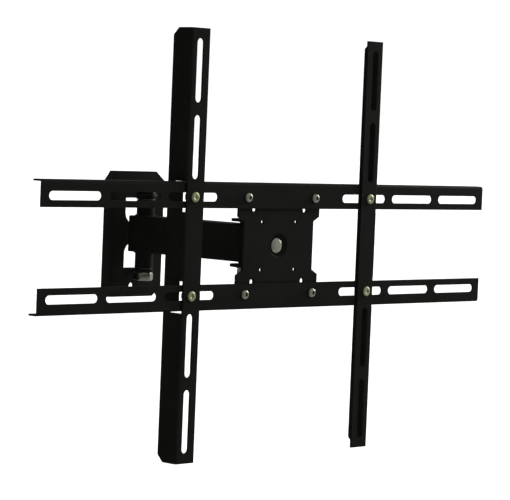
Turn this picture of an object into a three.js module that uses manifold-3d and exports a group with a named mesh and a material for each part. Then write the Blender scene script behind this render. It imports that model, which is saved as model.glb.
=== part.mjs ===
// Full motion wall mount for a flat television, in millimetres, +Z up.
// The origin is on the wall plate's back face, in line with the arm. The wall lies in the plane
// y = 0 and the television is carried in front of it, towards -Y. +X is to the right for a viewer
// who faces the wall.
import * as THREE from 'three';
import { mergeVertices } from 'three/addons/utils/BufferGeometryUtils.js';
import Module from 'manifold-3d';

const wasm = await Module();
wasm.setup();

// ---------------------------------------------------------------- driving dimensions

const CLEARANCE = 0.2; // gap between faces that touch on the real mount
const ARM_HEIGHT_Z = 1.3; // the arm's centre line sits a little above the middle of the wall plate

// Wall plate: one steel plate with two ears cut and folded out of it.
const WALL_SHEET = 2.5;
const WALL_LEFT = 42.1; // from the arm's centre line to the plate's left edge
const WALL_RIGHT = 45.3;
const WALL_HEIGHT = 139.6;
const WALL_CORNER = { left: 7.5, right: 12.5, up: 10 };
const WALL_PANEL_RISE = 1.5; // the middle panel stands forward of the side margins
const WALL_PANEL_HALF = 27; // half width of the middle panel at its front face
const WALL_STEP = 2.5; // width of the slope between margin and panel
const WALL_HOLE_RADIUS = 4.3;
const WALL_HOLES_Z = [54, -58.3];
const EAR_INSIDE = 38.8; // from the arm's centre line to an ear's inner face
const EAR_SHEET = 3;
const EAR_WIDTH = 25;
const EAR_LENGTH = 28.4; // from the panel's front face to the round tip
const PIVOT_REACH = 18.6; // from the panel's front face to the wall pivot's axis

// Arm: a rectangular tube with a pivot barrel through each end.
const ARM_LENGTH = 160; // from pivot to pivot
const ARM_WIDTH = 30;
const ARM_HEIGHT = 40;
const ARM_WALL = 2.5;
const ARM_WALL_OVERHANG = 10.4; // tube past the wall pivot's axis
const BARREL_RADIUS = 10;
const BARREL_BORE = 7.5;
const HEAD_BARREL_RADIUS = 8.5;
const HEAD_BARREL_BORE = 6.4;
const WALL_BOLT_RADIUS = 6;
const HEAD_BOLT_RADIUS = 5;
const BUSH_FLANGE = 1;
const BUSH_WALL = 1.1;

// Head: a clevis that turns on the arm and carries the tilting ball seat.
const CLEVIS_INSIDE = 22.6; // from the arm's centre line to a clevis ear's inner face
const CLEVIS_SHEET = 3;
const CLEVIS_WIDTH = 34.4;
const CLEVIS_WEB_DEPTH = 14.3; // from the rails' front face back to the web's front face

// Television frame: head plate, two horizontal rails and two uprights.
const FRAME_REACH = 232; // from the wall to the rails' front face
const RAIL_SHEET = 2;
const RAIL_LENGTH = 653.6;
const RAIL_OUTER_Z = 65.5;
const RAIL_INNER_Z = 38.8;
const RAIL_FLANGE = 13;
const PATTERN = 100; // bolt square that joins the rails to the head plate
const PLATE_SHEET = 3;
const PLATE_WIDTH = 120;
const PLATE_WAIST = 103;
const PLATE_HEIGHT = 126;
const DISH_OPENING = 13; // radius of the ball dish at the plate's front face
const DISH_DEPTH = 6;
const TILT_BOLT_RADIUS = 4;
const TILT_LIMIT = THREE.MathUtils.degToRad(10);

const UPRIGHT_LENGTH = 440;
const UPRIGHT_FACE = 25.5;
const UPRIGHT_FLANGE = 26.7;
const UPRIGHT_CORNER = 7.5;
const LEFT_UPRIGHT_X = -128;
const RIGHT_UPRIGHT_X = 133.6;
const SLOT_WIDTH = 8.8;
const RAIL_SLOTS = [
  { centre: 127.6, length: 69.4 },
  { centre: 206.1, length: 67.3 },
  { centre: 283.6, length: 67.3 },
];
const UPRIGHT_SLOTS = [100.3, 177.3];
const UPRIGHT_SLOT_LENGTH = 64.6;

// Worked out from the sizes above.
const WALL_FRONT_Y = -(WALL_SHEET + WALL_PANEL_RISE);
const WALL_PIVOT_Y = WALL_FRONT_Y - PIVOT_REACH;
const HEAD_PIVOT_Y = WALL_PIVOT_Y - ARM_LENGTH;
const RAIL_FRONT_Y = -FRAME_REACH;
const PLATE_FRONT_Y = RAIL_FRONT_Y + RAIL_SHEET + CLEARANCE;
const PLATE_BACK_Y = PLATE_FRONT_Y + PLATE_SHEET;
const WEB_FRONT_Y = RAIL_FRONT_Y + CLEVIS_WEB_DEPTH;
const WEB_BACK_Y = WEB_FRONT_Y + CLEVIS_SHEET;
const BALL_RADIUS = (DISH_OPENING ** 2 + DISH_DEPTH ** 2) / (2 * DISH_DEPTH); // dish, front surface
const BALL_Y = PLATE_FRONT_Y + DISH_DEPTH - BALL_RADIUS; // centre of the tilting ball
const HALF_PATTERN = PATTERN / 2;

// ---------------------------------------------------------------- finishes

const blackSteel = new THREE.MeshStandardMaterial({ color: 0x1c1c1a, roughness: 0.55, metalness: 0.3 });
const zinc = new THREE.MeshStandardMaterial({ color: 0x9a9a92, roughness: 0.35, metalness: 0.9 });
const yellowZinc = new THREE.MeshStandardMaterial({ color: 0x8f9068, roughness: 0.35, metalness: 0.9 });
const nylon = new THREE.MeshStandardMaterial({ color: 0x2a2a2a, roughness: 0.6, metalness: 0 });

// ---------------------------------------------------------------- solids

// Turns a closed three.js geometry into a solid that can be joined and cut.
function solid(geometry) {
  const plain = geometry.clone();
  plain.deleteAttribute('normal');
  plain.deleteAttribute('uv');
  const merged = mergeVertices(plain, 1e-4);
  return new wasm.Manifold(new wasm.Mesh({
    numProp: 3,
    vertProperties: new Float32Array(merged.attributes.position.array),
    triVerts: new Uint32Array(merged.index.array),
  }));
}

function mesh(name, manifold, material) {
  const { vertProperties, triVerts } = manifold.getMesh();
  const geometry = new THREE.BufferGeometry();
  geometry.setAttribute('position', new THREE.BufferAttribute(new Float32Array(vertProperties), 3));
  geometry.setIndex(new THREE.BufferAttribute(new Uint32Array(triVerts), 1));
  const made = new THREE.Mesh(geometry, material);
  made.name = name;
  return made;
}

// Extrudes a shape along a row axis between two coordinates. The shape is drawn in the other two
// axes: X and Y for z, X and Z for y, Y and Z for x.
function prism(shape, axis, from, to, curveSegments = 6) {
  const geometry = new THREE.ExtrudeGeometry(shape, { depth: to - from, bevelEnabled: false, curveSegments });
  if (axis === 'z') geometry.translate(0, 0, from);
  if (axis === 'y') geometry.rotateX(Math.PI / 2).translate(0, to, 0);
  if (axis === 'x') {
    const cycle = new THREE.Matrix4().makeBasis(
      new THREE.Vector3(0, 1, 0),
      new THREE.Vector3(0, 0, 1),
      new THREE.Vector3(1, 0, 0),
    );
    geometry.applyMatrix4(cycle).translate(from, 0, 0);
  }
  return solid(geometry);
}

// Turns a profile of [radius, height] points, listed upwards, about the Y or the Z axis.
function turned(profile, axis, segments = 24) {
  const geometry = new THREE.LatheGeometry(profile.map(([r, h]) => new THREE.Vector2(r, h)), segments);
  if (axis === 'z') geometry.rotateX(Math.PI / 2);
  return solid(geometry);
}

function polygon(points) {
  return new THREE.Shape(points.map(([u, v]) => new THREE.Vector2(u, v)));
}

function rectangle(u0, u1, v0, v1) {
  return polygon([[u0, v0], [u1, v0], [u1, v1], [u0, v1]]);
}

function circle(radius) {
  return new THREE.Shape().absarc(0, 0, radius, 0, 2 * Math.PI);
}

function hexagon(acrossFlats) {
  const radius = acrossFlats / Math.sqrt(3);
  const corner = (i) => [radius * Math.cos((i * Math.PI) / 3), radius * Math.sin((i * Math.PI) / 3)];
  return polygon([0, 1, 2, 3, 4, 5].map(corner));
}

// A slot with round ends, length measured over the ends, along u or v.
function slotShape(length, width, along) {
  const r = width / 2;
  const straight = length / 2 - r;
  const shape = new THREE.Shape();
  if (along === 'u') {
    shape.absarc(straight, 0, r, -Math.PI / 2, Math.PI / 2);
    shape.absarc(-straight, 0, r, Math.PI / 2, 1.5 * Math.PI);
  } else {
    shape.absarc(0, straight, r, 0, Math.PI);
    shape.absarc(0, -straight, r, Math.PI, 2 * Math.PI);
  }
  return shape;
}

// A ring of rectangular section about Z.
function ring(inner, outer, z0, z1, segments = 28) {
  return turned([[inner, z0], [outer, z0], [outer, z1], [inner, z1], [inner, z0]], 'z', segments);
}

// Points of a circular arc about (0, height) in a turned profile, between two radii from the axis.
function sphereArc(radius, height, rFrom, rTo, steps = 6) {
  const from = Math.asin(rFrom / radius);
  const to = Math.asin(rTo / radius);
  return Array.from({ length: steps + 1 }, (_, i) => {
    const angle = from + ((to - from) * i) / steps;
    return [radius * Math.sin(angle), height + radius * Math.cos(angle)];
  });
}

// ---------------------------------------------------------------- wall plate and wall pivot

function earOutline(length) {
  const r = EAR_WIDTH / 2;
  const shape = new THREE.Shape();
  shape.moveTo(-r, WALL_SHEET);
  shape.absarc(0, -(length - r), r, Math.PI, 2 * Math.PI);
  shape.lineTo(r, WALL_SHEET);
  return shape;
}

function wallPlate() {
  const h = WALL_HEIGHT / 2;
  const edge = WALL_PANEL_HALF;
  const foot = edge + WALL_STEP;
  const rise = WALL_PANEL_RISE;
  const t = WALL_SHEET;
  // Section seen from above: flat back on the wall, thinner side margins, raised middle panel.
  const section = polygon([
    [-WALL_LEFT, 0], [-WALL_LEFT, -t], [-foot, -t], [-edge, -t - rise],
    [edge, -t - rise], [foot, -t], [WALL_RIGHT, -t], [WALL_RIGHT, 0],
  ]);
  const { left, right, up } = WALL_CORNER;
  const outline = polygon([
    [-WALL_LEFT, up - h], [left - WALL_LEFT, -h], [WALL_RIGHT - right, -h], [WALL_RIGHT, up - h],
    [WALL_RIGHT, h - up], [WALL_RIGHT - right, h], [left - WALL_LEFT, h], [-WALL_LEFT, h - up],
  ]);
  let plate = prism(section, 'z', -h, h).intersect(prism(outline, 'y', -10, 1));
  for (const side of [-1, 1]) {
    // The window is the hole that the ear left when it was lanced and folded out.
    const windowShape = new THREE.Shape();
    const r = EAR_WIDTH / 2 + 0.3;
    const root = ARM_HEIGHT_Z + side * EAR_INSIDE;
    const tip = ARM_HEIGHT_Z + side * (EAR_INSIDE - EAR_LENGTH);
    windowShape.moveTo(-r, root);
    windowShape.lineTo(r, root);
    if (side > 0) windowShape.absarc(0, tip + r, r, 0, Math.PI, true);
    else windowShape.absarc(0, tip - r, r, 0, Math.PI, false);
    plate = plate.subtract(prism(windowShape, 'y', -10, 1, 16));
    const outer = ARM_HEIGHT_Z + side * (EAR_INSIDE + EAR_SHEET);
    const ear = prism(earOutline(EAR_LENGTH), 'z', Math.min(root, outer), Math.max(root, outer), 16)
      .translate(0, WALL_FRONT_Y, 0);
    const bore = prism(circle(WALL_BOLT_RADIUS + 0.3), 'z', -h, h, 16).translate(0, WALL_PIVOT_Y, 0);
    plate = plate.add(ear.subtract(bore));
  }
  for (const z of WALL_HOLES_Z) {
    plate = plate.subtract(prism(circle(WALL_HOLE_RADIUS), 'y', -10, 1, 12).translate(0, 0, z));
  }
  return mesh('wall_plate', plate, blackSteel);
}

// A hexagon head or nut about Z, with the corners of one end turned down.
function hexBody(acrossFlats, z0, z1, chamferAtTop) {
  const flat = acrossFlats / 2;
  const corner = acrossFlats / Math.sqrt(3);
  const drop = 0.12 * acrossFlats;
  const cone = chamferAtTop
    ? [[0, z0], [corner + 1, z0], [corner + 1, z1 - drop], [flat - 0.4, z1], [0, z1]]
    : [[0, z0], [flat - 0.4, z0], [corner + 1, z0 + drop], [corner + 1, z1], [0, z1]];
  return prism(hexagon(acrossFlats), 'z', z0, z1).intersect(turned(cone, 'z', 24));
}

function rod(radius, z0, z1, segments = 24) {
  return turned([[0, z0], [radius, z0], [radius, z1], [0, z1]], 'z', segments);
}

// Hexagon bolt down through a pair of ears, its washer under the head and its nut below.
function pivotFasteners(prefix, y, radius, earOuter, acrossFlats, sizes) {
  const top = ARM_HEIGHT_Z + earOuter + CLEARANCE;
  const bottom = ARM_HEIGHT_Z - earOuter - CLEARANCE;
  const headFrom = top + sizes.washer + CLEARANCE;
  const nutTop = bottom - sizes.lowerWasher;
  const nutBottom = nutTop - sizes.nut;
  const place = (made) => {
    made.position.y = y;
    return made;
  };
  const headFinish = sizes.blackHead ? blackSteel : zinc;
  const head = hexBody(acrossFlats, headFrom, headFrom + sizes.head, true);
  const shank = rod(radius, nutBottom - 0.8, headFrom + 0.1);
  const nutBore = rod(radius + CLEARANCE, nutBottom - 1, nutTop + 1);
  const nut = hexBody(acrossFlats, nutBottom, nutTop, false).subtract(nutBore);
  const made = [
    place(mesh(`${prefix}_bolt`, head.add(shank), headFinish)),
    place(mesh(
      `${prefix}_upper_washer`, ring(radius + 0.3, sizes.washerRadius, top, top + sizes.washer), headFinish)),
    place(mesh(`${prefix}_nut`, nut, zinc)),
  ];
  if (sizes.lowerWasher > 0) {
    const from = bottom - sizes.lowerWasher + CLEARANCE;
    const lowerWasher = ring(radius + 0.3, sizes.washerRadius, from, bottom);
    made.push(place(mesh(`${prefix}_lower_washer`, lowerWasher, zinc)));
  }
  return made;
}

// ---------------------------------------------------------------- arm

// Outline of the tube's section, X by Z, corners rounded.
function tubeSection(width, height, corner) {
  const u = width / 2 - corner;
  const v = height / 2 - corner;
  const shape = new THREE.Shape();
  shape.absarc(u, v, corner, 0, Math.PI / 2);
  shape.absarc(-u, v, corner, Math.PI / 2, Math.PI);
  shape.absarc(-u, -v, corner, Math.PI, 1.5 * Math.PI);
  shape.absarc(u, -v, corner, 1.5 * Math.PI, 2 * Math.PI);
  return shape;
}

function armTube() {
  const rear = WALL_PIVOT_Y + ARM_WALL_OVERHANG;
  const front = HEAD_PIVOT_Y - ARM_WIDTH / 2;
  const outside = prism(tubeSection(ARM_WIDTH, ARM_HEIGHT, 1.8), 'y', front, rear, 4);
  const hollow = tubeSection(ARM_WIDTH - 2 * ARM_WALL, ARM_HEIGHT - 2 * ARM_WALL, 1);
  const inside = prism(hollow, 'y', front - 1, rear + 1, 3);
  // The head end is rounded about its pivot, so that it clears the tilt bolt as the head turns.
  const plan = new THREE.Shape();
  plan.moveTo(ARM_WIDTH, rear + 1);
  plan.lineTo(-ARM_WIDTH, rear + 1);
  plan.lineTo(-ARM_WIDTH, HEAD_PIVOT_Y);
  plan.lineTo(-ARM_WIDTH / 2, HEAD_PIVOT_Y);
  plan.absarc(0, HEAD_PIVOT_Y, ARM_WIDTH / 2, Math.PI, 2 * Math.PI);
  plan.lineTo(ARM_WIDTH, HEAD_PIVOT_Y);
  const rounded = prism(plan, 'z', -ARM_HEIGHT, ARM_HEIGHT, 12);
  const wallBore = rod(BARREL_RADIUS + 0.3, -ARM_HEIGHT, ARM_HEIGHT, 32).translate(0, WALL_PIVOT_Y, 0);
  const headBore = rod(HEAD_BARREL_RADIUS + 0.3, -ARM_HEIGHT, ARM_HEIGHT, 32).translate(0, HEAD_PIVOT_Y, 0);
  const tube = outside.subtract(inside).intersect(rounded).subtract(wallBore).subtract(headBore);
  const made = mesh('arm_tube', tube, blackSteel);
  made.position.z = ARM_HEIGHT_Z;
  return made;
}

// A barrel with a flanged nylon bush in each end.
function barrelAndBushes(prefix, y, halfLength, outer, bore, boltRadius) {
  const flangeFrom = halfLength + CLEARANCE;
  const sleeveInner = boltRadius + 0.3;
  const sleeveOuter = Math.min(sleeveInner + BUSH_WALL, bore - CLEARANCE);
  const sleeveEnd = halfLength - 12;
  const bush = (side) => {
    const profile = [
      [sleeveInner, sleeveEnd], [sleeveOuter, sleeveEnd], [sleeveOuter, flangeFrom],
      [outer, flangeFrom], [outer, flangeFrom + BUSH_FLANGE], [sleeveInner, flangeFrom + BUSH_FLANGE],
      [sleeveInner, sleeveEnd],
    ];
    const upper = turned(profile, 'z');
    return side > 0 ? upper : upper.rotate([180, 0, 0]);
  };
  const made = [
    mesh(`${prefix}_barrel`, ring(bore, outer, -halfLength, halfLength), blackSteel),
    mesh(`${prefix}_upper_bush`, bush(1), nylon),
    mesh(`${prefix}_lower_bush`, bush(-1), nylon),
  ];
  for (const part of made) part.position.set(0, y, ARM_HEIGHT_Z);
  return made;
}

// ---------------------------------------------------------------- head clevis and tilt joint

function headClevis() {
  const t = CLEVIS_SHEET;
  const outer = CLEVIS_INSIDE + t;
  const half = CLEVIS_WIDTH / 2;
  const tip = HEAD_PIVOT_Y + half;
  const bend = 4;
  // Section in Y and Z: web at the front, ears running back from it, bends rounded outside.
  const shape = new THREE.Shape();
  shape.moveTo(tip, -outer);
  shape.lineTo(tip, -CLEVIS_INSIDE);
  shape.lineTo(WEB_BACK_Y, -CLEVIS_INSIDE);
  shape.lineTo(WEB_BACK_Y, CLEVIS_INSIDE);
  shape.lineTo(tip, CLEVIS_INSIDE);
  shape.lineTo(tip, outer);
  shape.absarc(WEB_FRONT_Y + bend, outer - bend, bend, Math.PI / 2, Math.PI);
  shape.absarc(WEB_FRONT_Y + bend, bend - outer, bend, Math.PI, 1.5 * Math.PI);
  const plan = new THREE.Shape();
  plan.moveTo(half, WEB_FRONT_Y - 1);
  plan.absarc(0, HEAD_PIVOT_Y, half, 0, Math.PI);
  plan.lineTo(-half, WEB_FRONT_Y - 1);
  const body = prism(shape, 'x', -half, half, 4).intersect(prism(plan, 'z', -outer - 1, outer + 1, 14));
  const bore = rod(HEAD_BOLT_RADIUS + 0.3, -outer - 1, outer + 1).translate(0, HEAD_PIVOT_Y, 0);
  const slot = prism(tiltSlot(WEB_BACK_Y - BALL_Y), 'y', WEB_FRONT_Y - 1, WEB_BACK_Y + 1);
  const made = mesh('head_clevis', body.subtract(bore).subtract(slot), blackSteel);
  made.position.z = ARM_HEIGHT_Z;
  return made;
}

// Upright slot that lets the tilt bolt swing, at a distance from the ball's centre.
function tiltSlot(distance) {
  const reach = TILT_BOLT_RADIUS + 0.5 + distance * Math.sin(TILT_LIMIT);
  return slotShape(2 * reach, 2 * (TILT_BOLT_RADIUS + 0.4), 'v');
}

// Radii, from the ball's centre, of the nested dished pieces on the tilt bolt.
const plateBall = BALL_RADIUS + PLATE_SHEET;
const frontSeatBall = plateBall + 0.3;
const frontSeatBack = WEB_FRONT_Y - CLEARANCE;
const rearSeatFront = WEB_BACK_Y + CLEARANCE;
const rearSeatBall = rearSeatFront + 3 - BALL_Y;
const dishedWasherBall = rearSeatBall + 0.3;
const dishedWasherBack = BALL_Y + dishedWasherBall + 2.6;
const springWasherBack = dishedWasherBack + CLEARANCE + 1.6;
const tiltNutBack = springWasherBack + CLEARANCE + 5.8;
const tiltBoltEnd = tiltNutBack + 1.2;

function frontSeat() {
  const rim = 11;
  const profile = [...sphereArc(frontSeatBall, BALL_Y, 0, rim), [rim, frontSeatBack], [0, frontSeatBack]];
  const slot = prism(tiltSlot(frontSeatBack - BALL_Y), 'y', BALL_Y, WEB_FRONT_Y);
  const made = mesh('tilt_front_seat', turned(profile, 'y').subtract(slot), nylon);
  made.position.z = ARM_HEIGHT_Z;
  return made;
}

function rearSeat() {
  const rim = 11.5;
  const arc = sphereArc(rearSeatBall, BALL_Y, 0, rim).reverse();
  const profile = [[0, rearSeatFront], [rim, rearSeatFront], ...arc];
  const slot = prism(tiltSlot(rearSeatBall), 'y', WEB_BACK_Y, WEB_BACK_Y + 20);
  const made = mesh('tilt_rear_seat', turned(profile, 'y').subtract(slot), nylon);
  made.position.z = ARM_HEIGHT_Z;
  return made;
}

function tiltFasteners() {
  const rodRadius = TILT_BOLT_RADIUS;
  const headRim = 8.5;
  const headBall = BALL_RADIUS - 0.3;
  const seatArc = sphereArc(headBall, BALL_Y, 0, headRim);
  const rimY = seatArc.at(-1)[1] - 0.6;
  const domeRadius = 16;
  const domeCentre = rimY + Math.sqrt(domeRadius ** 2 - headRim ** 2);
  const dome = sphereArc(domeRadius, 0, 0, headRim, 6).map(([r, h]) => [r, domeCentre - h]);
  const head = turned([...dome, ...seatArc.reverse()], 'y');
  const shankProfile = [[0, rimY + 1], [rodRadius, rimY + 1], [rodRadius, tiltBoltEnd], [0, tiltBoltEnd]];
  const shank = turned(shankProfile, 'y', 24);
  const washerRim = 8.5;
  const washerArc = sphereArc(dishedWasherBall, BALL_Y, rodRadius + 0.3, washerRim, 5);
  const washer = turned(
    [...washerArc, [washerRim, dishedWasherBack], [rodRadius + 0.3, dishedWasherBack], washerArc[0]], 'y');
  const springFrom = dishedWasherBack + CLEARANCE;
  const spring = turned([
    [rodRadius + 0.3, springFrom], [7.2, springFrom], [7.2, springWasherBack],
    [rodRadius + 0.3, springWasherBack], [rodRadius + 0.3, springFrom],
  ], 'y').subtract(prism(rectangle(0, 9, -0.6, 0.6), 'y', springFrom - 1, springWasherBack + 1));
  const nutFrom = springWasherBack + CLEARANCE;
  const nutBore = prism(circle(rodRadius + CLEARANCE), 'y', nutFrom - 1, tiltNutBack + 1, 12);
  const nut = prism(hexagon(13), 'y', nutFrom, tiltNutBack).subtract(nutBore);
  const made = [
    mesh('tilt_bolt', head.add(shank), zinc),
    mesh('tilt_dished_washer', washer, zinc),
    mesh('tilt_spring_washer', spring, zinc),
    mesh('tilt_nut', nut, zinc),
  ];
  for (const part of made) part.position.z = ARM_HEIGHT_Z;
  return made;
}

// ---------------------------------------------------------------- television frame

function headPlate() {
  const w = PLATE_WIDTH / 2;
  const waist = PLATE_WAIST / 2;
  const h = PLATE_HEIGHT / 2;
  const waistTop = 25.6; // the edge leaves the waist here
  const shoulder = 30.3; // and reaches the full width here
  const outline = polygon([
    [-w, -h], [w, -h], [w, -shoulder], [waist, -waistTop], [waist, waistTop], [w, shoulder],
    [w, h], [-w, h], [-w, shoulder], [-waist, waistTop], [-waist, -waistTop], [-w, -shoulder],
  ]);
  const capRim = Math.sqrt(plateBall ** 2 - (PLATE_FRONT_Y + 0.5 - BALL_Y) ** 2);
  const capProfile = [[0, PLATE_FRONT_Y + 0.5], ...sphereArc(plateBall, BALL_Y, 0, capRim).reverse()];
  const cap = turned(capProfile, 'y', 32);
  const hollowRim = Math.sqrt(BALL_RADIUS ** 2 - (PLATE_FRONT_Y - 2 - BALL_Y) ** 2);
  const hollowProfile = [[0, PLATE_FRONT_Y - 2], ...sphereArc(BALL_RADIUS, BALL_Y, 0, hollowRim).reverse()];
  const hollow = turned(hollowProfile, 'y', 32);
  let plate = prism(outline, 'y', PLATE_FRONT_Y, PLATE_BACK_Y).add(cap).subtract(hollow);
  const drill = (radius, x, z) => {
    const hole = prism(circle(radius), 'y', PLATE_FRONT_Y - 5, PLATE_BACK_Y + 12, 8);
    plate = plate.subtract(hole.translate(x, 0, z));
  };
  drill(TILT_BOLT_RADIUS + 0.3, 0, 0);
  for (const sx of [-1, 1]) {
    for (const sz of [-1, 1]) {
      drill(3.4, sx * HALF_PATTERN, sz * HALF_PATTERN);
      drill(3.2, sx * 37.5, sz * 37.5);
      drill(2.1, sx * 25, sz * 25);
    }
  }
  const made = mesh('head_plate', plate, blackSteel);
  made.position.z = ARM_HEIGHT_Z;
  return made;
}

// L section of a rail in Y and Z: face at the front, flange running back from its outer edge.
function railSection(side) {
  const t = RAIL_SHEET;
  const front = RAIL_FRONT_Y;
  const bend = 3;
  const at = (y, z) => new THREE.Vector2(y, side * z);
  const shape = new THREE.Shape();
  const points = [at(front, RAIL_INNER_Z), at(front + t, RAIL_INNER_Z), at(front + t, RAIL_OUTER_Z - t)];
  points.push(at(front + RAIL_FLANGE, RAIL_OUTER_Z - t), at(front + RAIL_FLANGE, RAIL_OUTER_Z));
  const steps = 5;
  for (let i = 0; i <= steps; i += 1) {
    const angle = (Math.PI / 2) * (1 + i / steps);
    points.push(at(front + bend + bend * Math.cos(angle), RAIL_OUTER_Z - bend + bend * Math.sin(angle)));
  }
  shape.setFromPoints(side > 0 ? points : points.reverse());
  return shape;
}

function rail(name, side) {
  let body = prism(railSection(side), 'x', -RAIL_LENGTH / 2, RAIL_LENGTH / 2);
  for (const sx of [-1, 1]) {
    for (const { centre, length } of RAIL_SLOTS) {
      const cut = prism(slotShape(length, SLOT_WIDTH, 'u'), 'y', RAIL_FRONT_Y - 1, RAIL_FRONT_Y + 5);
      body = body.subtract(cut.translate(sx * centre, 0, side * HALF_PATTERN));
    }
    const bore = prism(circle(3.4), 'y', RAIL_FRONT_Y - 1, RAIL_FRONT_Y + 5, 8);
    body = body.subtract(bore.translate(sx * HALF_PATTERN, 0, side * HALF_PATTERN));
  }
  const made = mesh(name, body, blackSteel);
  made.position.z = ARM_HEIGHT_Z;
  return made;
}

// A round headed screw that enters from the front. The recess is a hexagon or a cross.
function frontScrew(name, x, z, seatY, size, material) {
  const { headRadius, headHeight, shankRadius, end, recess } = size;
  const crown = headRadius * 0.72;
  const profile = [
    [0, seatY - headHeight], [crown * 0.6, seatY - headHeight * 0.97], [crown, seatY - headHeight * 0.82],
    [headRadius * 0.93, seatY - headHeight * 0.45], [headRadius, seatY], [shankRadius, seatY],
    [shankRadius, end], [0, end],
  ];
  const socket = prism(recess, 'y', seatY - headHeight - 1, seatY - headHeight + 1.6);
  const body = turned(profile, 'y', 24).subtract(socket);
  const made = mesh(name, body, material);
  made.position.set(x, 0, z);
  return made;
}

function crossRecess(length, width) {
  const a = length / 2;
  const b = width / 2;
  return polygon([
    [-a, -b], [-b, -b], [-b, -a], [b, -a], [b, -b], [a, -b],
    [a, b], [b, b], [b, a], [-b, a], [-b, b], [-a, b],
  ]);
}

function hexNut(name, x, z, from, to, acrossFlats, bore) {
  const hole = prism(circle(bore), 'y', from - 1, to + 1, 8);
  const body = prism(hexagon(acrossFlats), 'y', from, to).subtract(hole);
  const made = mesh(name, body, zinc);
  made.position.set(x, 0, z);
  return made;
}

// The four screws that hold the rails on the head plate, with their nuts.
function plateFasteners() {
  const made = [];
  const seatY = RAIL_FRONT_Y - CLEARANCE;
  const nutFrom = PLATE_BACK_Y + CLEARANCE;
  for (const [row, sz] of [['upper', 1], ['lower', -1]]) {
    for (const [column, sx] of [['left', -1], ['right', 1]]) {
      const x = sx * HALF_PATTERN;
      const z = ARM_HEIGHT_Z + sz * HALF_PATTERN;
      const size = {
        headRadius: 5.25, headHeight: 3.3, shankRadius: 3, end: nutFrom + 6.4, recess: hexagon(4),
      };
      made.push(frontScrew(`plate_screw_${row}_${column}`, x, z, seatY, size, zinc));
      made.push(hexNut(`plate_nut_${row}_${column}`, x, z, nutFrom, nutFrom + 5.2, 10, 3.2));
    }
  }
  return made;
}

// ---------------------------------------------------------------- uprights

// side is -1 for the left upright and 1 for the right one: the flange runs back from its outer edge.
function upright(name, side, centreX) {
  const t = RAIL_SHEET;
  const front = RAIL_FRONT_Y - CLEARANCE - t;
  const half = UPRIGHT_FACE / 2;
  const back = front + UPRIGHT_FLANGE;
  const bend = 3;
  const points = [[-half, front], [-half, front + t], [half - t, front + t], [half - t, back], [half, back]];
  const steps = 5;
  for (let i = 0; i <= steps; i += 1) {
    const angle = (-Math.PI / 2) * (i / steps);
    points.push([half - bend + bend * Math.cos(angle), front + bend + bend * Math.sin(angle)]);
  }
  const section = side > 0 ? points.reverse() : points.map(([x, y]) => [-x, y]);
  const h = UPRIGHT_LENGTH / 2;
  let body = prism(polygon(section), 'z', -h, h);
  // Back corners of the flange, cut away at both ends.
  const corner = UPRIGHT_CORNER;
  for (const end of [-1, 1]) {
    const wedge = [
      [back + 1, end * (h - corner - 1)], [back + 1, end * (h + 1)], [back - corner - 1, end * (h + 1)],
    ];
    body = body.subtract(prism(polygon(end > 0 ? wedge : wedge.reverse()), 'x', -half - 1, half + 1));
    // Stepped notch where the rail passes: through the flange and its bend over the rail's face, and
    // deeper at the rail's flange.
    const notchEnd = end > 0 ? 65.8 : 67.2;
    const notch = (depth, from) => {
      const cut = rectangle(front - 1, RAIL_FRONT_Y + depth, Math.min(end * from, end * notchEnd),
        Math.max(end * from, end * notchEnd));
      const [inner, outer] = side > 0 ? [half - t, half + 1] : [-half - 1, t - half];
      body = body.subtract(prism(cut, 'x', inner, outer));
    };
    notch(3.4, 35);
    notch(RAIL_FLANGE + 2, 61.5);
    body = body.subtract(
      prism(circle(3.4), 'y', front - 1, front + t + 1, 8).translate(0, 0, end * HALF_PATTERN));
    for (const centre of UPRIGHT_SLOTS) {
      const cut = prism(slotShape(UPRIGHT_SLOT_LENGTH, SLOT_WIDTH, 'v'), 'y', front - 1, front + t + 1);
      body = body.subtract(cut.translate(0, 0, end * centre));
    }
  }
  const made = mesh(name, body, blackSteel);
  made.position.set(centreX, 0, ARM_HEIGHT_Z);
  return made;
}

// Screw, washer and nut at the two crossings of an upright with the rails.
function uprightFasteners(prefix, x) {
  const made = [];
  const seatY = RAIL_FRONT_Y - 2 * CLEARANCE - RAIL_SHEET;
  const washerFrom = RAIL_FRONT_Y + RAIL_SHEET + CLEARANCE;
  const nutFrom = washerFrom + 1.5 + CLEARANCE;
  for (const [row, sz] of [['upper', 1], ['lower', -1]]) {
    const z = ARM_HEIGHT_Z + sz * HALF_PATTERN;
    const size = {
      headRadius: 5.4, headHeight: 2.4, shankRadius: 3, end: nutFrom + 3.8, recess: crossRecess(5, 1.3),
    };
    made.push(frontScrew(`${prefix}_screw_${row}`, x, z, seatY, size, yellowZinc));
    const washer = prism(circle(6), 'y', washerFrom, washerFrom + 1.5, 12)
      .subtract(prism(circle(3.3), 'y', washerFrom - 1, washerFrom + 3, 8));
    const placed = mesh(`${prefix}_washer_${row}`, washer, zinc);
    placed.position.set(x, 0, z);
    made.push(placed);
    made.push(hexNut(`${prefix}_nut_${row}`, x, z, nutFrom, nutFrom + 3.2, 10, 3.2));
  }
  return made;
}

// ---------------------------------------------------------------- assembly

const mount = new THREE.Group();

const wallSizes = { head: 7.5, nut: 9.6, washer: 2, washerRadius: 12, lowerWasher: 0, blackHead: true };
const wallBracket = new THREE.Group();
wallBracket.add(wallPlate());
wallBracket.add(...pivotFasteners(
  'wall_pivot', WALL_PIVOT_Y, WALL_BOLT_RADIUS, EAR_INSIDE + EAR_SHEET, 19, wallSizes));

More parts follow.
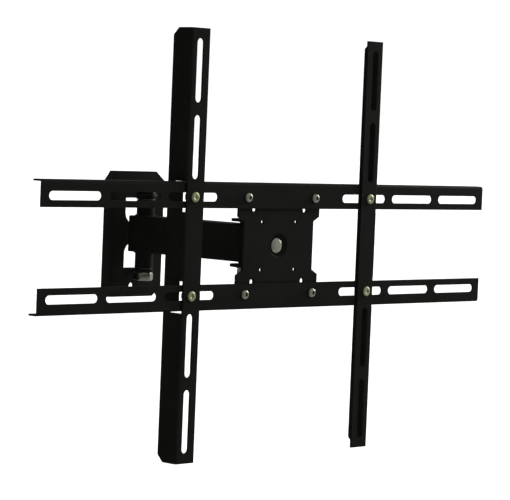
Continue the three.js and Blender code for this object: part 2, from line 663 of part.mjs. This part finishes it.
const arm = new THREE.Group();
const wallBarrelHalf = EAR_INSIDE - BUSH_FLANGE - 2 * CLEARANCE;
const headBarrelHalf = CLEVIS_INSIDE - BUSH_FLANGE - 2 * CLEARANCE;
arm.add(armTube());
arm.add(...barrelAndBushes(
  'wall_pivot', WALL_PIVOT_Y, wallBarrelHalf, BARREL_RADIUS, BARREL_BORE, WALL_BOLT_RADIUS));
arm.add(...barrelAndBushes(
  'head_pivot', HEAD_PIVOT_Y, headBarrelHalf, HEAD_BARREL_RADIUS, HEAD_BARREL_BORE, HEAD_BOLT_RADIUS));

const headSizes = { head: 6.4, nut: 6.2, washer: 1.6, washerRadius: 10, lowerWasher: 1.8 };
const head = new THREE.Group();
head.add(headClevis(), frontSeat(), rearSeat());
head.add(...pivotFasteners(
  'head_pivot', HEAD_PIVOT_Y, HEAD_BOLT_RADIUS, CLEVIS_INSIDE + CLEVIS_SHEET, 17, headSizes));

const tilt = new THREE.Group();
tilt.add(...tiltFasteners());

const frame = new THREE.Group();
frame.add(headPlate(), rail('upper_rail', 1), rail('lower_rail', -1), ...plateFasteners());

const leftUpright = new THREE.Group();
leftUpright.add(upright('left_upright', -1, LEFT_UPRIGHT_X));
leftUpright.add(...uprightFasteners('left_upright', LEFT_UPRIGHT_X));

const rightUpright = new THREE.Group();
rightUpright.add(upright('right_upright', 1, RIGHT_UPRIGHT_X));
rightUpright.add(...uprightFasteners('right_upright', RIGHT_UPRIGHT_X));

mount.add(wallBracket, arm, head, tilt, frame, leftUpright, rightUpright);

export default mount;
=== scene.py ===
from math import pi, radians, sqrt

import bpy
from mathutils import Matrix, Vector


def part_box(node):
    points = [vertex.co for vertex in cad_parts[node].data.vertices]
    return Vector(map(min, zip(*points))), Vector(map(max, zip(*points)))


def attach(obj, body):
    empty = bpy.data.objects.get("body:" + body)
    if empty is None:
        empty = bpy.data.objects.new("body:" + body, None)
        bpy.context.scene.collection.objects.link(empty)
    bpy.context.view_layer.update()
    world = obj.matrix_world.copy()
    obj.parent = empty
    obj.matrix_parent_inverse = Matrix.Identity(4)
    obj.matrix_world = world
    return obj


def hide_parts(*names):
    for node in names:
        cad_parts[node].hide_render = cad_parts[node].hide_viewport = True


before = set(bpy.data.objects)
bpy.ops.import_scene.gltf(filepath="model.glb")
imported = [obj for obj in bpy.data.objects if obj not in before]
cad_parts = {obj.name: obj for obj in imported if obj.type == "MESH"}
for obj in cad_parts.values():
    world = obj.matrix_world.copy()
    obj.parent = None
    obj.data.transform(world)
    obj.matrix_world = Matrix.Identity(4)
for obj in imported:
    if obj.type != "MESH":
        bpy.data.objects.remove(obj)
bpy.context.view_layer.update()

# ---------------------------------------------------------------- camera
# It stands to the left of the mount and slightly above it, with a long lens, and looks at the
# front of the frame. The angles are in degrees, and the place is in metres.
camera_place = (-1.8042, -1.9882, 0.1252)
camera_heading = -45.18
camera_below_level = 2.94
camera_roll = 2.36
camera_data = bpy.data.cameras.new("camera")
camera_data.lens = 170.3
camera_data.sensor_width = 36
camera_data.clip_start = 0.05
camera_data.clip_end = 200
camera = bpy.data.objects.new("camera", camera_data)
bpy.context.scene.collection.objects.link(camera)
heading = Matrix.Rotation(radians(camera_heading), 4, "Z")
pitch = Matrix.Rotation(radians(90 - camera_below_level), 4, "X")
roll = Matrix.Rotation(radians(camera_roll), 4, "Z")
camera.matrix_world = Matrix.Translation(camera_place) @ heading @ pitch @ roll
bpy.context.scene.camera = camera

# ---------------------------------------------------------------- light and floor
# A wide soft sun over the right shoulder, a stronger one from behind, a tall softbox at the right,
# and a white room that gives more light from the right than from the left. The matt floor is well
# below the mount, as nothing stands on it, and reflections don't see it.
bpy.context.scene.view_settings.view_transform = "Standard"

world = bpy.data.worlds.new("white_room")
bpy.context.scene.world = world
world.use_nodes = True
room = world.node_tree
room.nodes.clear()
seen_wall = room.nodes.new("ShaderNodeBackground")
seen_wall.inputs["Color"].default_value = (1, 1, 1, 1)
seen_wall.inputs["Strength"].default_value = 1.1
room_light = room.nodes.new("ShaderNodeBackground")
room_light.inputs["Color"].default_value = (1, 1, 1, 1)
room_direction = room.nodes.new("ShaderNodeTexCoord")
room_axes = room.nodes.new("ShaderNodeSeparateXYZ")
room.links.new(room_direction.outputs["Generated"], room_axes.inputs["Vector"])
room_side = room.nodes.new("ShaderNodeMapRange")
room_side.inputs["From Min"].default_value = -1
room_side.inputs["To Min"].default_value = 0.16
room_side.inputs["To Max"].default_value = 0.5
room.links.new(room_axes.outputs["X"], room_side.inputs["Value"])
room.links.new(room_side.outputs["Result"], room_light.inputs["Strength"])
ray_kind = room.nodes.new("ShaderNodeLightPath")
either = room.nodes.new("ShaderNodeMixShader")
room_out = room.nodes.new("ShaderNodeOutputWorld")
room.links.new(ray_kind.outputs["Is Camera Ray"], either.inputs["Fac"])
room.links.new(room_light.outputs["Background"], either.inputs[1])
room.links.new(seen_wall.outputs["Background"], either.inputs[2])
room.links.new(either.outputs["Shader"], room_out.inputs["Surface"])

sun_data = bpy.data.lights.new("sun", "SUN")
sun_data.energy = 2.9
sun_data.angle = radians(35)
sun = bpy.data.objects.new("sun", sun_data)
sun.matrix_world = Vector((0.55, -0.75, 1.15)).to_track_quat("Z", "Y").to_matrix().to_4x4()
sun.visible_glossy = False
bpy.context.scene.collection.objects.link(sun)

back_data = bpy.data.lights.new("back_fill", "SUN")
back_data.energy = 4
back_data.angle = radians(40)
back_fill = bpy.data.objects.new("back_fill", back_data)
back_fill.matrix_world = Vector((0.45, 1, 0.4)).to_track_quat("Z", "Y").to_matrix().to_4x4()
back_fill.visible_glossy = False
bpy.context.scene.collection.objects.link(back_fill)

softbox_data = bpy.data.lights.new("softbox", "AREA")
softbox_data.shape = "RECTANGLE"
softbox_data.size = 0.9
softbox_data.size_y = 1.2
softbox_data.energy = 34
softbox = bpy.data.objects.new("softbox", softbox_data)
softbox_place = Vector((2.3, -0.38, 0.85))
towards = (softbox_place - Vector((0, -0.2, 0))).to_track_quat("Z", "Y").to_matrix().to_4x4()
softbox.matrix_world = Matrix.Translation(softbox_place) @ towards
bpy.context.scene.collection.objects.link(softbox)

bpy.ops.object.select_all(action="DESELECT")
bpy.ops.mesh.primitive_plane_add(size=120, location=(0, 0, -0.95))
floor = bpy.context.object
floor.name = "floor"
bpy.ops.object.transform_apply(location=True, rotation=True, scale=True)
floor_paint = bpy.data.materials.new("floor_paint")
floor_paint.use_nodes = True
floor_shader = floor_paint.node_tree.nodes["Principled BSDF"]
floor_shader.inputs["Base Color"].default_value = (0.95, 0.95, 0.95, 1)
floor_shader.inputs["Roughness"].default_value = 0.9
floor_shader.inputs["Specular IOR Level"].default_value = 0.1
floor.data.materials.append(floor_paint)
floor.visible_glossy = False

# ---------------------------------------------------------------- black powder coat
# Every folded sheet, tube and barrel has the same black powder coat, with a fine even texture
# and slightly uneven gloss.
powder_coat = bpy.data.materials.new("black_powder_coat")
powder_coat.use_nodes = True
coat = powder_coat.node_tree
coat_shader = coat.nodes["Principled BSDF"]
coat_shader.inputs["Metallic"].default_value = 0
coat_shader.inputs["Specular IOR Level"].default_value = 0.045
coat_place = coat.nodes.new("ShaderNodeTexCoord")

grit = coat.nodes.new("ShaderNodeTexNoise")
grit.inputs["Scale"].default_value = 1500
grit.inputs["Detail"].default_value = 3
grit.inputs["Roughness"].default_value = 0.6
coat.links.new(coat_place.outputs["Object"], grit.inputs["Vector"])
grit_bump = coat.nodes.new("ShaderNodeBump")
grit_bump.inputs["Strength"].default_value = 0.35
grit_bump.inputs["Distance"].default_value = 0.00008
coat.links.new(grit.outputs["Fac"], grit_bump.inputs["Height"])
coat.links.new(grit_bump.outputs["Normal"], coat_shader.inputs["Normal"])

cloud = coat.nodes.new("ShaderNodeTexNoise")
cloud.inputs["Scale"].default_value = 22
cloud.inputs["Detail"].default_value = 4
coat.links.new(coat_place.outputs["Object"], cloud.inputs["Vector"])
coat_colour = coat.nodes.new("ShaderNodeValToRGB")
coat_colour.color_ramp.elements[0].position = 0.3
coat_colour.color_ramp.elements[0].color = (0.0036, 0.0036, 0.003, 1)
coat_colour.color_ramp.elements[1].position = 0.7
coat_colour.color_ramp.elements[1].color = (0.005, 0.005, 0.0042, 1)
coat.links.new(cloud.outputs["Fac"], coat_colour.inputs["Fac"])
coat.links.new(coat_colour.outputs["Color"], coat_shader.inputs["Base Color"])
coat_gloss = coat.nodes.new("ShaderNodeMapRange")
coat_gloss.inputs["To Min"].default_value = 0.5
coat_gloss.inputs["To Max"].default_value = 0.66
coat.links.new(cloud.outputs["Fac"], coat_gloss.inputs["Value"])
coat.links.new(coat_gloss.outputs["Result"], coat_shader.inputs["Roughness"])

# ---------------------------------------------------------------- wall plate
# One steel plate with two ears cut and folded out of it towards the arm. The cut edges are
# broken all round, as they are after tumbling, and the coat rounds them a little more.

merge_distance = 0.000002


def broken_edges(node, body, name, radius):
    """A copy of a cut and folded piece, with whole faces and rounded edges."""
    bpy.ops.object.select_all(action="DESELECT")
    piece = bpy.data.objects.new(name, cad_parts[node].data.copy())
    bpy.context.scene.collection.objects.link(piece)
    piece.data.materials.clear()
    piece.data.materials.append(powder_coat)
    piece.select_set(True)
    bpy.context.view_layer.objects.active = piece
    bpy.ops.object.mode_set(mode="EDIT")
    bpy.ops.mesh.select_all(action="SELECT")
    bpy.ops.mesh.remove_doubles(threshold=merge_distance)
    bpy.ops.mesh.dissolve_limited(angle_limit=radians(0.5))
    bpy.ops.object.mode_set(mode="OBJECT")
    bpy.ops.object.modifier_add(type="BEVEL")
    bevel = piece.modifiers[-1]
    bevel.width = radius
    bevel.segments = 3
    bevel.limit_method = "ANGLE"
    bevel.angle_limit = radians(36)
    bevel.miter_outer = "MITER_ARC"
    bpy.ops.object.modifier_apply(modifier=bevel.name)
    bpy.ops.object.shade_smooth_by_angle(angle=radians(38))
    bpy.ops.object.modifier_add(type="WEIGHTED_NORMAL")
    normals = piece.modifiers[-1]
    normals.keep_sharp = True
    bpy.ops.object.modifier_apply(modifier=normals.name)
    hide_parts(node)
    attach(piece, body)
    return piece


broken_edges("wall_plate", "wall_bracket", "wall_plate_steel", 0.0005)

# ---------------------------------------------------------------- zinc finishes
# Bolts, washers and nuts are grey zinc, a little mottled. The screws that clamp the uprights
# have an olive passivated zinc, and the wall pivot's bolt and washer are oiled black.


def plated(name, dull, bright, rough_low, rough_high):
    finish = bpy.data.materials.new(name)
    finish.use_nodes = True
    tree = finish.node_tree
    shader = tree.nodes["Principled BSDF"]
    shader.inputs["Metallic"].default_value = 1
    place = tree.nodes.new("ShaderNodeTexCoord")
    mottle = tree.nodes.new("ShaderNodeTexNoise")
    mottle.inputs["Scale"].default_value = 260
    mottle.inputs["Detail"].default_value = 3
    mottle.inputs["Roughness"].default_value = 0.65
    tree.links.new(place.outputs["Object"], mottle.inputs["Vector"])
    colour = tree.nodes.new("ShaderNodeValToRGB")
    colour.color_ramp.elements[0].position = 0.35
    colour.color_ramp.elements[0].color = (*dull, 1)
    colour.color_ramp.elements[1].position = 0.65
    colour.color_ramp.elements[1].color = (*bright, 1)
    tree.links.new(mottle.outputs["Fac"], colour.inputs["Fac"])
    tree.links.new(colour.outputs["Color"], shader.inputs["Base Color"])
    gloss = tree.nodes.new("ShaderNodeMapRange")
    gloss.inputs["To Min"].default_value = rough_low
    gloss.inputs["To Max"].default_value = rough_high
    tree.links.new(mottle.outputs["Fac"], gloss.inputs["Value"])
    tree.links.new(gloss.outputs["Result"], shader.inputs["Roughness"])
    grain = tree.nodes.new("ShaderNodeTexNoise")
    grain.inputs["Scale"].default_value = 2600
    tree.links.new(place.outputs["Object"], grain.inputs["Vector"])
    bump = tree.nodes.new("ShaderNodeBump")
    bump.inputs["Strength"].default_value = 0.1
    bump.inputs["Distance"].default_value = 0.00002
    tree.links.new(grain.outputs["Fac"], bump.inputs["Height"])
    tree.links.new(bump.outputs["Normal"], shader.inputs["Normal"])
    return finish


grey_zinc = plated("grey_zinc", (0.34, 0.35, 0.27), (0.46, 0.47, 0.385), 0.2, 0.3)
olive_zinc = plated("olive_zinc", (0.36, 0.38, 0.21), (0.52, 0.54, 0.33), 0.34, 0.5)
black_oxide = plated("black_oxide", (0.02, 0.02, 0.018), (0.04, 0.04, 0.036), 0.42, 0.55)

# ---------------------------------------------------------------- wall pivot bolt
# An M12 hexagon bolt down through both ears, a washer under its head and a nut below. Heads and
# nuts have their hexagon's corners turned down to a cone.

UP = Vector((0, 0, 1))
BACK = Vector((0, 1, 0))


def turned(name, middle, along, stations, sides=48, ring=False):
    """A lathe piece: a circle at the first station, drawn out along its axis to each next one.
    A station is a radius and a level. A ring's last station is its first one again."""
    bpy.ops.object.select_all(action="DESELECT")
    radius, level = stations[0]
    bpy.ops.mesh.primitive_circle_add(
        vertices=sides,
        radius=radius,
        fill_type="NOTHING" if ring else "NGON",
        location=middle + along * level,
        rotation=(0 if along == UP else pi / 2, 0, 0),
    )
    piece = bpy.context.object
    piece.name = name
    bpy.ops.object.mode_set(mode="EDIT")
    bpy.ops.mesh.select_all(action="SELECT")
    for wider, further in stations[1:]:
        bpy.ops.mesh.extrude_region_move(TRANSFORM_OT_translate={"value": along * (further - level)})
        growth = Vector((1, 1, 1)) * (wider / radius) - along * (wider / radius - 1)
        bpy.ops.transform.resize(value=growth, center_override=middle + along * further)
        radius, level = wider, further
    bpy.ops.mesh.select_all(action="SELECT")
    bpy.ops.mesh.remove_doubles(threshold=merge_distance)
    bpy.ops.mesh.normals_make_consistent(inside=False)
    bpy.ops.object.mode_set(mode="OBJECT")
    bpy.ops.object.transform_apply(location=True, rotation=True, scale=True)
    return piece


def hexagon_tool(middle, along, across_flats, start, end):
    bpy.ops.object.select_all(action="DESELECT")
    bpy.ops.mesh.primitive_cylinder_add(
        vertices=6,
        radius=across_flats / sqrt(3),
        depth=end - start,
        location=middle + along * (start + end) / 2,
        rotation=(0 if along == UP else pi / 2, 0, 0),
    )
    tool = bpy.context.object
    bpy.ops.object.transform_apply(location=True, rotation=True, scale=True)
    return tool


def cut_with(piece, tool, operation):
    """Cuts a piece with a tool, or keeps what is inside it, and takes the tool away."""
    bpy.ops.object.select_all(action="DESELECT")
    piece.select_set(True)
    bpy.context.view_layer.objects.active = piece
    bpy.ops.object.modifier_add(type="BOOLEAN")
    cut = piece.modifiers[-1]
    cut.operation = operation
    cut.solver = "EXACT"
    cut.object = tool
    bpy.ops.object.modifier_apply(modifier=cut.name)
    bpy.data.objects.remove(tool)


def finished(piece, node, body, finish, edge=0.0):
    """Breaks the sharp edges, gives the finish and puts the piece in its node's place."""
    bpy.ops.object.select_all(action="DESELECT")
    piece.select_set(True)
    bpy.context.view_layer.objects.active = piece
    if edge:
        bpy.ops.object.modifier_add(type="BEVEL")
        bevel = piece.modifiers[-1]
        bevel.width = edge
        bevel.segments = 2
        bevel.limit_method = "ANGLE"
        bevel.angle_limit = radians(32)
        bpy.ops.object.modifier_apply(modifier=bevel.name)
    bpy.ops.object.shade_smooth_by_angle(angle=radians(34))
    piece.data.materials.clear()
    piece.data.materials.append(finish)
    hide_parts(node)
    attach(piece, body)
    return piece


def axis_of(node):
    """The middle of a CAD node's box: its axis passes through it."""
    low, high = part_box(node)
    return (low + high) / 2


def thread(radius, depth, pitch, start, end):
    """Stations of a threaded length: a groove each pitch."""
    stations = []
    level = start
    while level + pitch <= end:
        stations += [(radius, level + 0.15 * pitch), (radius - depth, level + 0.5 * pitch)]
        stations += [(radius, level + 0.85 * pitch)]
        level += pitch
    return stations


def hexagon_bolt(node, body, radius, across_flats, head_height, thread_length, finish):
    """The shank is at the bottom with its threaded end down and the head is on top."""
    low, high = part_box(node)
    middle = axis_of(node)
    bottom = low.z - middle.z
    top = high.z - middle.z
    seat = top - head_height
    corner = across_flats / sqrt(3) + 0.0004
    chamfer = radius * 0.12
    stations = [(radius - chamfer, bottom), (radius, bottom + chamfer)]
    stations += thread(radius, radius * 0.09, radius * 0.25, bottom + chamfer, bottom + thread_length)
    stations += [(radius, seat), (across_flats * 0.47, seat), (across_flats * 0.47, seat + 0.0003)]
    stations += [(corner, seat + 0.0003), (corner, top - across_flats * 0.1)]
    stations += [(across_flats * 0.46, top), (across_flats * 0.4, top)]
    stations += [(across_flats * 0.38, top - 0.0002), (0.0002, top - 0.0002)]
    bolt = turned(f"{node}_{finish.name}", middle, UP, stations)
    tool = hexagon_tool(middle, UP, across_flats, bottom - 0.001, top + 0.001)
    cut_with(bolt, tool, "INTERSECT")
    return finished(bolt, node, body, finish, 0.00012)


def hexagon_nut(node, body, along, bore, across_flats):
    low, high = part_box(node)
    middle = axis_of(node)
    half = (high - low).dot(along) / 2
    corner = across_flats / sqrt(3) + 0.0004
    lip = bore + across_flats * 0.035
    rim = across_flats * 0.47
    drop = across_flats * 0.09
    stations = [(bore, half - 0.0004), (bore, 0.0004 - half), (lip, -half), (rim, -half)]
    stations += [(corner, drop - half), (corner, half - drop), (rim, half), (lip, half)]
    nut = turned(node + "_zinc", middle, along, [*stations, stations[0]], ring=True)
    cut_with(nut, hexagon_tool(middle, along, across_flats, -half - 0.001, half + 0.001), "INTERSECT")
    return finished(nut, node, body, grey_zinc, 0.00012)


def washer(node, body, along, bore, finish=grey_zinc):
    low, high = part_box(node)
    middle = axis_of(node)
    half = (high - low).dot(along) / 2
    outside = (high - low).x / 2
    soft = 0.00025
    stations = [(bore, half - soft), (bore, soft - half), (bore + soft, -half), (outside - soft, -half)]
    stations += [(outside, soft - half), (outside, half - soft), (outside - soft, half), (bore + soft, half)]
    disc = turned(f"{node}_{finish.name}", middle, along, [*stations, stations[0]], ring=True)
    return finished(disc, node, body, finish)


hexagon_bolt("wall_pivot_bolt", "wall_bracket", 0.006, 0.019, 0.0075, 0.022, black_oxide)
hexagon_nut("wall_pivot_nut", "wall_bracket", UP, 0.0062, 0.019)
washer("wall_pivot_upper_washer", "wall_bracket", UP, 0.0063, black_oxide)

# ---------------------------------------------------------------- arm
# A rectangular welded tube. A barrel passes through it at each end, and a bead of weld runs
# round the wall barrel where it leaves the tube.
broken_edges("arm_tube", "arm", "arm_tube_steel", 0.0004)


def barrel(node, bore):
    low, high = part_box(node)
    middle = axis_of(node)
    half = (high.z - low.z) / 2
    outside = (high.x - low.x) / 2
    soft = 0.0005
    stations = [(bore, half - soft), (bore, soft - half), (bore + soft, -half), (outside - soft, -half)]
    stations += [(outside, soft - half), (outside, half - soft), (outside - soft, half), (bore + soft, half)]
    tube = turned(node + "_steel", middle, UP, [*stations, stations[0]], sides=72, ring=True)
    return finished(tube, node, "arm", powder_coat)


barrel("wall_pivot_barrel", 0.0075)
barrel("head_pivot_barrel", 0.0064)

tube_low, tube_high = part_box("arm_tube")
barrel_low, barrel_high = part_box("wall_pivot_barrel")
for bead_name, bead_level in (("upper", tube_high.z), ("lower", tube_low.z)):
    bpy.ops.object.select_all(action="DESELECT")
    bpy.ops.mesh.primitive_torus_add(
        major_radius=(barrel_high.x - barrel_low.x) / 2 + 0.0004,
        minor_radius=0.0013,
        major_segments=96,
        minor_segments=14,
        location=(0, axis_of("wall_pivot_barrel").y, bead_level),
    )
    bead = bpy.context.object
    bead.name = "weld_bead_" + bead_name
    bpy.ops.object.transform_apply(location=True, rotation=True, scale=True)
    ripple = bpy.data.textures.new("ripple_" + bead_name, "STUCCI")
    ripple.noise_scale = 0.0016
    bpy.ops.object.modifier_add(type="DISPLACE")
    bead.modifiers[-1].texture = ripple
    bead.modifiers[-1].strength = 0.0003
    bpy.ops.object.modifier_apply(modifier=bead.modifiers[-1].name)
    bpy.ops.object.shade_smooth()
    bead.data.materials.append(powder_coat)
    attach(bead, "arm")

# ---------------------------------------------------------------- nylon bushes
# Flanged bushes of black nylon are pressed into both ends of each barrel. The moulded surface has
# a fine uneven grain and a soft gloss.
nylon = bpy.data.materials.new("black_nylon")
nylon.use_nodes = True
nylon_shader = nylon.node_tree.nodes["Principled BSDF"]
nylon_shader.inputs["Specular IOR Level"].default_value = 0.35
nylon_place = nylon.node_tree.nodes.new("ShaderNodeTexCoord")
nylon_grain = nylon.node_tree.nodes.new("ShaderNodeTexNoise")
nylon_grain.inputs["Scale"].default_value = 900
nylon.node_tree.links.new(nylon_place.outputs["Object"], nylon_grain.inputs["Vector"])
nylon_colour = nylon.node_tree.nodes.new("ShaderNodeValToRGB")
nylon_colour.color_ramp.elements[0].color = (0.009, 0.009, 0.009, 1)
nylon_colour.color_ramp.elements[1].color = (0.016, 0.016, 0.016, 1)
nylon.node_tree.links.new(nylon_grain.outputs["Fac"], nylon_colour.inputs["Fac"])
nylon.node_tree.links.new(nylon_colour.outputs["Color"], nylon_shader.inputs["Base Color"])
nylon_gloss = nylon.node_tree.nodes.new("ShaderNodeMapRange")
nylon_gloss.inputs["To Min"].default_value = 0.42
nylon_gloss.inputs["To Max"].default_value = 0.58
nylon.node_tree.links.new(nylon_grain.outputs["Fac"], nylon_gloss.inputs["Value"])
nylon.node_tree.links.new(nylon_gloss.outputs["Result"], nylon_shader.inputs["Roughness"])


def bush(node, bore, sleeve, flange_up):
    """flange_up is 1 where the flange is on top and -1 where it is below."""
    low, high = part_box(node)
    middle = axis_of(node)
    half = (high.z - low.z) / 2
    outside = (high.x - low.x) / 2
    seat = half - 0.001
    soft = 0.0002
    stations = [(bore, half), (bore, -half), (sleeve - soft, -half), (sleeve, soft - half), (sleeve, seat)]
    stations += [(outside, seat), (outside, half - soft), (outside - soft, half)]
    flipped = [(radius, level * flange_up) for radius, level in stations]
    piece = turned(node + "_nylon", middle, UP, [*flipped, flipped[0]], ring=True)
    return finished(piece, node, "arm", nylon)


for row, flange_up in (("upper", 1), ("lower", -1)):
    bush("wall_pivot_" + row + "_bush", 0.0063, 0.0073, flange_up)
    bush("head_pivot_" + row + "_bush", 0.0053, 0.0062, flange_up)

# ---------------------------------------------------------------- swivel head
# A folded clevis with round ended ears turns on the arm's front barrel on an M10 bolt. Two
# dished nylon seats clamp its slotted web.
broken_edges("head_clevis", "swivel_head", "head_clevis_steel", 0.0005)
hexagon_bolt("head_pivot_bolt", "swivel_head", 0.005, 0.017, 0.0064, 0.016, grey_zinc)
hexagon_nut("head_pivot_nut", "swivel_head", UP, 0.0052, 0.017)
for row in ("upper", "lower"):
    washer("head_pivot_" + row + "_washer", "swivel_head", UP, 0.0053)
for node in ("tilt_front_seat", "tilt_rear_seat"):
    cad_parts[node].data.materials.clear()
    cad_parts[node].data.materials.append(nylon)

# ---------------------------------------------------------------- tilt bolt
# A domed bolt sits in the dish of the head plate. Behind the web it carries a dished washer, a
# split spring washer and a nut.
bolt_low, bolt_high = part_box("tilt_bolt")
bolt_middle = axis_of("tilt_bolt")
front = bolt_low.y - bolt_middle.y
rim = (bolt_high.x - bolt_low.x) / 2
dome_depth = 0.00245
tilt_shank = 0.004
dome = [(0.0003, front)]
for share in (0.18, 0.34, 0.5, 0.65, 0.78, 0.88, 0.95, 0.985):
    dome.append((rim * share, front + dome_depth * (1 - sqrt(1 - share * share * 0.92)) / 0.72))
dome += [(rim, front + dome_depth + 0.0001), (rim, front + dome_depth + 0.0005)]
dome += [(rim * 0.75, front + dome_depth + 0.0012), (0.0042, front + dome_depth + 0.0016)]
dome += [(tilt_shank, front + dome_depth + 0.0018)]
end = bolt_high.y - bolt_middle.y
dome += thread(tilt_shank, 0.0004, 0.00125, end - 0.0135, end - 0.0008)
dome += [(tilt_shank, end - 0.0006), (0.0034, end)]
tilt_bolt = turned("tilt_bolt_zinc", bolt_middle, BACK, dome, sides=64)
finished(tilt_bolt, "tilt_bolt", "tilt_screw", grey_zinc)
hexagon_nut("tilt_nut", "tilt_screw", BACK, 0.0042, 0.013)
for node in ("tilt_dished_washer", "tilt_spring_washer"):
    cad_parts[node].data.materials.clear()
    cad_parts[node].data.materials.append(grey_zinc)

# ---------------------------------------------------------------- head plate and rails
# The waisted plate has a pressed dish for the ball joint and three squares of holes. Two folded
# rails are screwed to it with button head screws.
broken_edges("head_plate", "television_frame", "head_plate_steel", 0.0004)
broken_edges("upper_rail", "television_frame", "upper_rail_steel", 0.0004)
broken_edges("lower_rail", "television_frame", "lower_rail_steel", 0.0004)

m6_shank = 0.003
m6_nut_bore = 0.0032
m6_nut_flats = 0.01


def button_screw(node, body, head_radius, head_height):
    low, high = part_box(node)
    middle = axis_of(node)
    front = low.y - middle.y
    end = high.y - middle.y
    seat = front + head_height
    stations = [(0.0003, front), (head_radius * 0.5, front)]
    stations += [(head_radius * 0.66, front + head_height * 0.07)]
    stations += [(head_radius * 0.8, front + head_height * 0.22)]
    stations += [(head_radius * 0.9, front + head_height * 0.42)]
    stations += [(head_radius * 0.97, front + head_height * 0.66), (head_radius, front + head_height * 0.88)]
    stations += [(head_radius * 0.97, seat), (m6_shank, seat)]
    stations += thread(m6_shank, 0.0003, 0.001, end - 0.009, end - 0.0006)
    stations += [(m6_shank, end - 0.0005), (0.0025, end)]
    screw = turned(node + "_zinc", middle, BACK, stations)
    cut_with(screw, hexagon_tool(middle, BACK, 0.004, front - 0.001, front + 0.0029), "DIFFERENCE")
    return finished(screw, node, body, grey_zinc, 0.0001)


for row in ("upper", "lower"):
    for side in ("left", "right"):
        button_screw("plate_screw_" + row + "_" + side, "television_frame", 0.00525, 0.0033)
        hexagon_nut("plate_nut_" + row + "_" + side, "television_frame", BACK, m6_nut_bore, m6_nut_flats)

# ---------------------------------------------------------------- uprights
# Two folded uprights slide along the rails. Each is clamped by two pan head screws with a plain
# washer and a nut behind.
broken_edges("left_upright", "left_slider", "left_upright_steel", 0.0004)
broken_edges("right_upright", "right_slider", "right_upright_steel", 0.0004)


def pan_screw(node, body, head_radius, head_height):
    low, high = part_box(node)
    middle = axis_of(node)
    front = low.y - middle.y
    end = high.y - middle.y
    seat = front + head_height
    stations = [(0.0003, front + 0.0007), (head_radius * 0.36, front + 0.0006)]
    stations += [(head_radius * 0.5, front + 0.0001)]
    stations += [(head_radius * 0.62, front), (head_radius * 0.8, front + head_height * 0.12)]
    stations += [(head_radius * 0.92, front + head_height * 0.32)]
    stations += [(head_radius * 0.985, front + head_height * 0.6)]
    stations += [(head_radius, front + head_height * 0.85), (head_radius * 0.985, seat), (m6_shank, seat)]
    stations += thread(m6_shank, 0.0003, 0.001, end - 0.009, end - 0.0006)
    stations += [(m6_shank, end - 0.0005), (0.0025, end)]
    screw = turned(node + "_zinc", middle, BACK, stations)
    for across, high_way in ((0.0046, 0.0011), (0.0011, 0.0046)):
        bpy.ops.object.select_all(action="DESELECT")
        bpy.ops.mesh.primitive_cube_add(size=1, location=middle + BACK * (front + 0.0008))
        bpy.ops.transform.resize(value=(across, 0.002, high_way))
        tool = bpy.context.object
        bpy.ops.object.transform_apply(location=True, rotation=True, scale=True)
        cut_with(screw, tool, "DIFFERENCE")
    return finished(screw, node, body, olive_zinc, 0.0001)


for side in ("left", "right"):
    for row in ("upper", "lower"):
        slider = side + "_slider"
        pan_screw(side + "_upright_screw_" + row, slider, 0.0054, 0.0024)
        washer(side + "_upright_washer_" + row, slider, BACK, 0.0033)
        hexagon_nut(side + "_upright_nut_" + row, slider, BACK, m6_nut_bore, m6_nut_flats)
